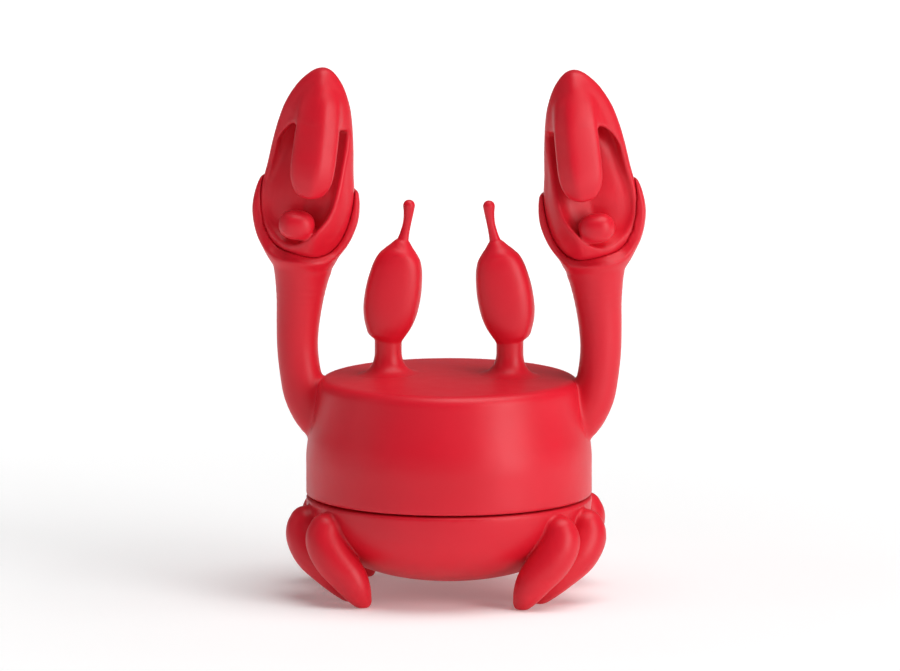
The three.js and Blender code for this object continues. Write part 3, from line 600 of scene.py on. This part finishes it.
def sample(field, low, counts, step):
    """The field on a grid, plane by plane."""
    y, z = np.meshgrid(np.arange(counts[1]), np.arange(counts[2]), indexing="ij")
    plane = np.stack([np.zeros(y.size), y.ravel(), z.ravel()], 1) * step + low
    per_go = max(1, 200000 // len(plane))
    values = np.empty(counts)
    for start in range(0, counts[0], per_go):
        xs = np.arange(start, min(start + per_go, counts[0]))
        points = np.tile(plane, (len(xs), 1))
        points[:, 0] += np.repeat(xs * step, len(plane))
        values[xs] = field(points).reshape(len(xs), counts[1], counts[2])
    return values


def surface_net(field, low, high, step):
    """A closed quad mesh of the field's zero surface inside the box low to high."""
    low = np.array(low, float)
    counts = tuple(np.ceil((np.array(high, float) - low) / step).astype(int) + 1)
    values = sample(field, low, counts, step)
    cells = tuple(n - 1 for n in counts)
    total = np.zeros(cells + (3,))
    crossings = np.zeros(cells)
    for axis in range(3):
        u, v = [i for i in range(3) if i != axis]
        for du in (0, 1):
            for dv in (0, 1):
                start = [0, 0, 0]
                start[u], start[v] = du, dv
                spans = [slice(start[i], start[i] + cells[i]) for i in range(3)]
                a = values[tuple(spans)]
                spans[axis] = slice(1, 1 + cells[axis])
                b = values[tuple(spans)]
                crosses = (a < 0) != (b < 0)
                t = np.where(crosses, a / np.where(crosses, a - b, 1), 0)
                total[..., axis] += t
                total[..., u] += crosses * du
                total[..., v] += crosses * dv
                crossings += crosses
    active = crossings > 0
    index = np.full(cells, -1)
    index[active] = np.arange(active.sum())
    corners = np.stack(np.nonzero(active), 1)
    points = low + step * (corners + total[active] / crossings[active][:, None])
    quads = []
    for axis in range(3):
        u, v = (axis + 1) % 3, (axis + 2) % 3
        spans = [slice(0, counts[i]) for i in range(3)]
        spans[u] = slice(1, counts[u] - 1)
        spans[v] = slice(1, counts[v] - 1)
        spans[axis] = slice(0, counts[axis] - 1)
        a = values[tuple(spans)] < 0
        spans[axis] = slice(1, counts[axis])
        b = values[tuple(spans)] < 0
        edges = np.stack(np.nonzero(a != b), 1)
        outward = a[tuple(edges.T)]
        edges[:, u] += 1
        edges[:, v] += 1
        around = []
        for du, dv in ((1, 1), (0, 1), (0, 0), (1, 0)):
            cell = edges.copy()
            cell[:, u] -= du
            cell[:, v] -= dv
            around.append(index[tuple(cell.T)])
        quad = np.stack(around, 1)
        quad[~outward] = quad[~outward][:, ::-1]
        quads.append(quad)
    quads = np.concatenate(quads)
    points = settle(field, points, step * 0.6, 1)
    points = relax(points, quads)
    points = settle(field, points, step * 0.6, 2)
    return points, quads


# ---------------------------------------------------------------- Blender meshes


def in_frame(points):
    """Points about the body's axis, in millimetres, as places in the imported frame, in metres."""
    return (np.asarray(points) + np.array([0, AXIS_Y, 0])) * MM


def add_mesh(name, points, faces, material, node, body):
    """A piece from points in millimetres about the body's axis, on the named body or on none yet."""
    mesh = bpy.data.meshes.new(name)
    mesh.from_pydata(in_frame(points).tolist(), [], [[int(i) for i in face] for face in faces])
    mesh.polygons.foreach_set("use_smooth", [True] * len(mesh.polygons))
    mesh.materials.append(material)
    mesh.update()
    piece = bpy.data.objects.new(name, mesh)
    bpy.context.scene.collection.objects.link(piece)
    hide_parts(node)
    if body:
        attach(piece, body)
    return piece


def mirrored(points, faces):
    flipped = points * np.array([-1, 1, 1])
    return flipped, faces[:, ::-1]


def both_sides(name, field, low, high, step, body, place=None):
    """The right piece and its mirror image, each standing for the CAD node of the same name."""
    points, faces = surface_net(field, low, high, step * COARSENESS)
    if place:
        points = place(points)
    right = add_mesh(f"{name}_right_skin", points, faces, RED, f"{name}_right", body)
    points, faces = mirrored(points, faces)
    left = add_mesh(f"{name}_left_skin", points, faces, RED, f"{name}_left", body)
    return right, left


def sweep(path, radius, sides=14):
    """A round bar along a path, its ends closed with domes."""
    path = np.asarray(path)
    tangent = np.gradient(path, axis=0)
    tangent /= np.linalg.norm(tangent, axis=1)[:, None]
    side = np.cross(tangent[0], [0, 0, 1.0])
    rings = []
    for i, spot in enumerate(path):
        side = side - tangent[i] * (side @ tangent[i])
        side /= np.linalg.norm(side)
        front = np.cross(tangent[i], side)
        for cap in cap_rings(i, len(path)):
            centre = spot + tangent[i] * radius * cap[0]
            for k in range(sides):
                angle = 2 * math.pi * k / sides
                rings.append(centre + radius * cap[1] * (side * math.cos(angle) + front * math.sin(angle)))
    points = np.array(rings)
    levels = len(points) // sides
    faces = []
    for level in range(levels - 1):
        for k in range(sides):
            a = level * sides + k
            b = level * sides + (k + 1) % sides
            faces.append([a, b, b + sides, a + sides])
    faces.append(list(range(sides))[::-1])
    faces.append(list(range((levels - 1) * sides, levels * sides)))
    return points, faces


def cap_rings(i, count):
    """(offset along, share of the radius) of the rings at point i of count."""
    dome = [(math.sin(math.radians(a)), math.cos(math.radians(a))) for a in (80, 60, 35)]
    if i == 0:
        return [(-along, share) for along, share in dome] + [(0, 1)]
    if i == count - 1:
        return [(0, 1)] + dome[::-1]
    return [(0, 1)]


def turned(outline, sides=48):
    """A closed solid of revolution from [radius, height] rows that start and end on the axis."""
    rows = outline[1:-1]
    points = [[0, 0, outline[0][1]]]
    for radius, z in rows:
        for k in range(sides):
            angle = 2 * math.pi * k / sides
            points.append([radius * math.cos(angle), radius * math.sin(angle), z])
    points.append([0, 0, outline[-1][1]])
    last = len(points) - 1
    faces = []
    for k in range(sides):
        after = (k + 1) % sides
        faces.append([0, 1 + after, 1 + k])
        for level in range(len(rows) - 1):
            a = 1 + level * sides
            faces.append([a + k, a + after, a + sides + after, a + sides + k])
        a = 1 + (len(rows) - 1) * sides
        faces.append([a + k, a + after, last])
    return np.array(points, float), faces


# ---------------------------------------------------------------- materials


def new_material(name):
    material = bpy.data.materials.new(name)
    material.use_nodes = True
    nodes = material.node_tree.nodes
    return material, nodes, material.node_tree.links, nodes["Principled BSDF"]


def noise_node(nodes, links, source, scale, detail=2.0, roughness=0.5):
    noise = nodes.new("ShaderNodeTexNoise")
    noise.inputs["Scale"].default_value = scale
    noise.inputs["Detail"].default_value = detail
    noise.inputs["Roughness"].default_value = roughness
    links.new(source, noise.inputs["Vector"])
    return noise.outputs["Fac"]


def range_node(nodes, links, source, low, high, to_low, to_high):
    ranged = nodes.new("ShaderNodeMapRange")
    ranged.inputs["From Min"].default_value = low
    ranged.inputs["From Max"].default_value = high
    ranged.inputs["To Min"].default_value = to_low
    ranged.inputs["To Max"].default_value = to_high
    links.new(source, ranged.inputs["Value"])
    return ranged.outputs["Result"]


def mix_colours(nodes, links, factor, first, second):
    mix = nodes.new("ShaderNodeMix")
    mix.data_type = "RGBA"
    mix.inputs["A"].default_value = first
    mix.inputs["B"].default_value = second
    links.new(factor, mix.inputs["Factor"])
    return mix.outputs["Result"]


def bump_node(nodes, links, height, distance, strength, below=None):
    bump = nodes.new("ShaderNodeBump")
    bump.inputs["Strength"].default_value = strength
    bump.inputs["Distance"].default_value = distance
    links.new(height, bump.inputs["Height"])
    if below is not None:
        links.new(below, bump.inputs["Normal"])
    return bump.outputs["Normal"]


def silicone(name, light, deep, roughness=0.41):
    """Satin silicone: an even colour with faint cloudiness, a fine moulded grain and a soft sheen."""
    material, nodes, links, shader = new_material(name)
    place = nodes.new("ShaderNodeTexCoord").outputs["Object"]
    cloud = range_node(nodes, links, noise_node(nodes, links, place, 60, 3), 0.3, 0.7, 0, 1)
    links.new(mix_colours(nodes, links, cloud, light, deep), shader.inputs["Base Color"])
    patch = noise_node(nodes, links, place, 180, 4, 0.6)
    polish = range_node(nodes, links, patch, 0.25, 0.75, roughness - 0.03, roughness + 0.04)
    links.new(polish, shader.inputs["Roughness"])
    grain = noise_node(nodes, links, place, 5200, 2, 0.6)
    wave = noise_node(nodes, links, place, 420, 2)
    normal = bump_node(nodes, links, wave, 0.00008, 0.25)
    links.new(bump_node(nodes, links, grain, 0.00002, 0.35, normal), shader.inputs["Normal"])
    shader.inputs["Specular IOR Level"].default_value = 0.36
    shader.inputs["Sheen Weight"].default_value = 0.02
    shader.inputs["Sheen Roughness"].default_value = 0.4
    shader.inputs["Sheen Tint"].default_value = (1, 0.75, 0.72, 1)
    return material


def steel(name, roughness):
    """Drawn steel with fine scratches and a slightly uneven polish."""
    material, nodes, links, shader = new_material(name)
    place = nodes.new("ShaderNodeTexCoord").outputs["Object"]
    stretch = nodes.new("ShaderNodeVectorMath")
    stretch.operation = "MULTIPLY"
    stretch.inputs[1].default_value = (300, 4000, 4000)
    links.new(place, stretch.inputs[0])
    scratch = noise_node(nodes, links, stretch.outputs["Vector"], 1, 3, 0.7)
    cloud = noise_node(nodes, links, place, 700, 3)
    colour = mix_colours(nodes, links, cloud, (0.62, 0.63, 0.65, 1), (0.47, 0.48, 0.5, 1))
    links.new(colour, shader.inputs["Base Color"])
    polish = range_node(nodes, links, scratch, 0.3, 0.7, roughness - 0.06, roughness + 0.1)
    links.new(polish, shader.inputs["Roughness"])
    links.new(bump_node(nodes, links, scratch, 0.00002, 0.4), shader.inputs["Normal"])
    shader.inputs["Metallic"].default_value = 1
    return material


FLOOR_GLOW = (0.16, 0.42)  # near and far: keeps the paper white where the lamps fall off
FLOOR_GLOW_REACH = (0.08, 0.5)  # metres from the middle


def floor_material():
    """Pale studio paper with a barely visible tooth."""
    material, nodes, links, shader = new_material("studio_paper")
    place = nodes.new("ShaderNodeTexCoord").outputs["Object"]
    tooth = noise_node(nodes, links, place, 900, 3)
    colour = mix_colours(nodes, links, tooth, (0.93, 0.93, 0.93, 1), (0.9, 0.9, 0.9, 1))
    links.new(colour, shader.inputs["Base Color"])
    shader.inputs["Roughness"].default_value = 0.75
    shader.inputs["Specular IOR Level"].default_value = 0.2
    shader.inputs["Emission Color"].default_value = (1, 1, 1, 1)
    apart = nodes.new("ShaderNodeVectorMath")
    apart.operation = "LENGTH"
    links.new(place, apart.inputs[0])
    glow = range_node(nodes, links, apart.outputs["Value"], *FLOOR_GLOW_REACH, *FLOOR_GLOW)
    links.new(glow, shader.inputs["Emission Strength"])
    links.new(bump_node(nodes, links, tooth, 0.0001, 0.1), shader.inputs["Normal"])
    return material


RED = silicone("red_silicone", (0.71, 0.008, 0.025, 1), (0.66, 0.007, 0.021, 1))
PAD_RED = silicone("pad_rubber", (0.30, 0.008, 0.014, 1), (0.25, 0.006, 0.011, 1), 0.62)
DECK_RED = silicone("deck_plastic", (0.42, 0.012, 0.02, 1), (0.37, 0.01, 0.017, 1), 0.55)
PIN_STEEL = steel("pin_steel", 0.28)
SPRING_STEEL = steel("spring_steel", 0.34)

# ---------------------------------------------------------------- the pieces

COARSENESS = 1.0


def build_shells():
    step = 0.5 * COARSENESS
    points, faces = surface_net(carapace_field, (-30, -30, 16.8), (30, 34.5, 46), step)
    add_mesh("carapace_skin", points, faces, RED, "carapace", "upper")
    points, faces = surface_net(bowl_field, (-30, -30, 2.4), (30, 34.5, 23.6), step)
    add_mesh("bowl_skin", points, faces, RED, "base_bowl", "base")


def build_legs():
    reach = 5.6  # room for the widest radius and its fillet
    for name, (azimuth, sweep_angle, tuck) in LEGS.items():
        rows = np.array(leg_rows(azimuth, sweep_angle, tuck))
        low = rows[:, :3].min(0) - reach
        high = rows[:, :3].max(0) + reach
        low[2] = -1
        both_sides(f"leg_{name}", leg_field(rows), low, high, 0.36, "base")


def build_arms():
    both_sides("arm", arm_field, (15.5, -12.5, 29), (42.5, 12.5, 88), 0.42, "upper")


def build_claws():
    both_sides("claw_palm", palm_field, (-11, -13, -11), (11, 11, 31), 0.4, "upper", from_claw)
    both_sides("claw_thumb", thumb_field, (-6, -12, -9.5), (7, 3, 3), 0.3, "upper", from_claw)
    fingers = both_sides("claw_finger", finger_field, (-7, -13, 1), (5, 0, 27), 0.34, None, from_claw)
    for side, sign, finger in (("right", 1, fingers[0]), ("left", -1, fingers[1])):
        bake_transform(finger)


def build_eyes():
    both_sides("eyestalk", stalk_field, (3.5, -9, 40), (21, 9, 55), 0.34, "upper")
    both_sides("eye", eye_field, (3, -7, 49), (20, 7, 74), 0.34, "upper")
    both_sides("eye_horn", horn_field, (5, -4.5, 66), (13.5, 4.5, 80.5), 0.26, "upper")


def build_pads():
    for name, middle_z, up, body in (("lower", 18.9, 1, "base"), ("upper", 21.3, -1, "upper")):
        low = (-24, -24, middle_z - 1.9)
        high = (24, 24, middle_z + 1.9)
        points, faces = surface_net(pad_field(middle_z, up), low, high, 0.38 * COARSENESS)
        add_mesh(f"{name}_pad_skin", points, faces, PAD_RED, f"{name}_grip_pad", body)


def build_pin():
    """A straight pin with a low head on both ends, turned along z and laid along x."""
    tip, shoulder = 14.2, 13.3
    half = [
        [0, -tip],
        [1.2, -tip],
        [1.7, -tip + 0.15],
        [1.95, -tip + 0.45],
        [1.95, -shoulder - 0.1],
        [1.85, -shoulder],
        [PIN_RADIUS, -shoulder],
    ]
    points, faces = turned(half + [[radius, -z] for radius, z in half[::-1]])
    points = np.stack([points[:, 2], points[:, 1] + HINGE_Y, -points[:, 0] + SEAM_Z], 1)
    add_mesh("hinge_pin_turned", points, faces, PIN_STEEL, "hinge_pin", "base")


def spring_leg(sign, coil_end):
    """One leg of the spring from its tip to the coil; sign is 1 for the upper leg, -1 for the lower."""
    turning_points = [[19.5, 5.55], [24.4, 5.55], [27.2, 3.9]]  # y and the height from the parting line
    rows = [[sign * SPRING_X, y, SEAM_Z + sign * z] for y, z in turning_points]
    return smooth_rows(rows + [coil_end], 24)


def build_spring():
    steps_per_turn = 32
    steps = int(4.5 * steps_per_turn)
    coil = []
    for i in range(steps + 1):
        angle = math.radians(130) + 2 * math.pi * i / steps_per_turn
        x = SPRING_X * (1 - 2 * i / steps)
        coil.append([x, HINGE_Y + COIL_RADIUS * math.cos(angle), SEAM_Z + COIL_RADIUS * math.sin(angle)])
    upper = spring_leg(1, coil[0])
    lower = spring_leg(-1, coil[-1])[::-1]
    path = np.concatenate([upper[:-1], np.array(coil), lower[1:]])
    points, faces = sweep(path, WIRE_RADIUS)
    spring = add_mesh("jaw_spring_wire", points, faces, SPRING_STEEL, "jaw_spring", None)
    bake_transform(spring)


def dress_cad_nodes():
    """The flat decks and the screws keep their CAD shape and get a finished material."""
    for name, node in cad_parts.items():
        if node.hide_render:
            continue
        node.data.materials.clear()
        node.data.materials.append(DECK_RED if name.endswith("_deck") else PIN_STEEL)


# ---------------------------------------------------------------- studio


def build_floor():
    mesh = bpy.data.meshes.new("studio_floor")
    half = 3.0
    corners = [(-half, -half, 0), (half, -half, 0), (half, half, 0), (-half, half, 0)]
    mesh.from_pydata(corners, [], [(0, 1, 2, 3)])
    mesh.materials.append(floor_material())
    floor = bpy.data.objects.new("studio_floor", mesh)
    bpy.context.scene.collection.objects.link(floor)


def soft_box(name, place, size, power):
    """A white area lamp aimed at the middle of the object."""
    data = bpy.data.lights.new(name, "AREA")
    data.shape = "RECTANGLE"
    data.size, data.size_y = size
    data.energy = power
    lamp = bpy.data.objects.new(name, data)
    lamp.location = place
    lamp.rotation_euler = (Vector((0, 0, 0.05)) - Vector(place)).to_track_quat("-Z", "Y").to_euler()
    bpy.context.scene.collection.objects.link(lamp)


def build_world():
    """A white room that is darker behind the camera."""
    world = bpy.data.worlds.new("studio")
    bpy.context.scene.world = world
    world.use_nodes = True
    nodes, links = world.node_tree.nodes, world.node_tree.links
    background = nodes["Background"]
    split = nodes.new("ShaderNodeSeparateXYZ")
    links.new(nodes.new("ShaderNodeTexCoord").outputs["Generated"], split.inputs["Vector"])
    strength = range_node(nodes, links, split.outputs["Y"], -0.75, 0.5, 0.06, 0.16)
    links.new(strength, background.inputs["Strength"])
    background.inputs["Color"].default_value = (1, 1, 1, 1)


def build_lights():
    """A large lamp on the right, a faint strip on the left and a very soft light from above."""
    soft_box("key", (0.88, -0.62, 0.3), (0.5, 0.9), 7.6)
    soft_box("strip", (-1.0, -0.3, 0.35), (0.14, 0.9), 0.6)
    data = bpy.data.lights.new("overhead", "SUN")
    data.energy = 2.1
    data.angle = math.radians(50)
    lamp = bpy.data.objects.new("overhead", data)
    lamp.rotation_euler = (math.radians(4), math.radians(14), 0)
    bpy.context.scene.collection.objects.link(lamp)


def build_camera():
    """A long lens far in front of the object, a little above it and to its right."""
    azimuth, elevation = math.radians(4), math.radians(9)
    distance = 3.0
    shift, height = 0.0002, 0.0521
    target = Vector((shift * math.cos(azimuth), AXIS_Y * MM + shift * math.sin(azimuth), height))
    offset = Vector((
        math.sin(azimuth) * math.cos(elevation),
        -math.cos(azimuth) * math.cos(elevation),
        math.sin(elevation),
    ))
    data = bpy.data.cameras.new("camera")
    data.lens = 600
    data.sensor_width = 36
    camera = bpy.data.objects.new("camera", data)
    camera.location = target + offset * distance
    camera.rotation_euler = (-offset).to_track_quat("-Z", "Y").to_euler()
    bpy.context.scene.collection.objects.link(camera)
    bpy.context.scene.camera = camera


# ---------------------------------------------------------------- the scene

build_shells()
build_legs()
build_arms()
build_claws()
build_eyes()
build_pads()
build_pin()
build_spring()
dress_cad_nodes()
build_floor()
build_world()
build_lights()
build_camera()
bpy.context.scene.view_settings.view_transform = "Standard"
